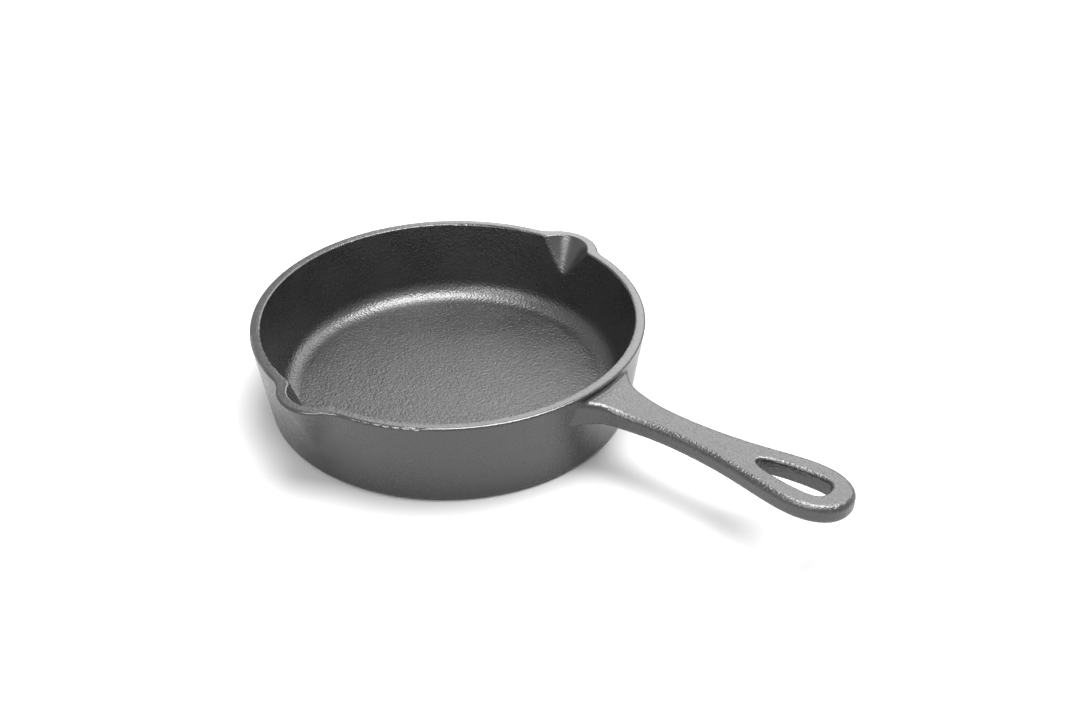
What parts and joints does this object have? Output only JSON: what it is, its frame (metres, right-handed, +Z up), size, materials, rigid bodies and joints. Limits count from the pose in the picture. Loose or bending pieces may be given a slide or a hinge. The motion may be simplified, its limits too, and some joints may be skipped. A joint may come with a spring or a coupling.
{
  "type": "cast iron skillet",
  "caption": "Small cast iron skillet: a round tapered pan with a pouring spout on each side and a flat waisted handle ending in a teardrop hanging eye.",
  "frame": {"origin": "centre of the flat base face, on the pan's axis", "axes": "+Z up along the pan's axis, +X along the handle from the pan's axis to the hanging eye, the two pouring spouts within 2.3 degrees of +Y and -Y"},
  "size_m": [0.273, 0.1796, 0.0395],
  "materials": {
    "cast_iron": "as-cast, seasoned: fine pebbled sand-cast grain, satin black"
  },
  "bodies": {
    "root": {"cooking_floor": "cast_iron", "side_wall": "cast_iron", "rim": "cast_iron", "spout_left": "cast_iron", "spout_right": "cast_iron", "handle_root": "cast_iron", "handle_grip": "cast_iron", "hanging_eye": "cast_iron"}
  },
  "joints": []
}
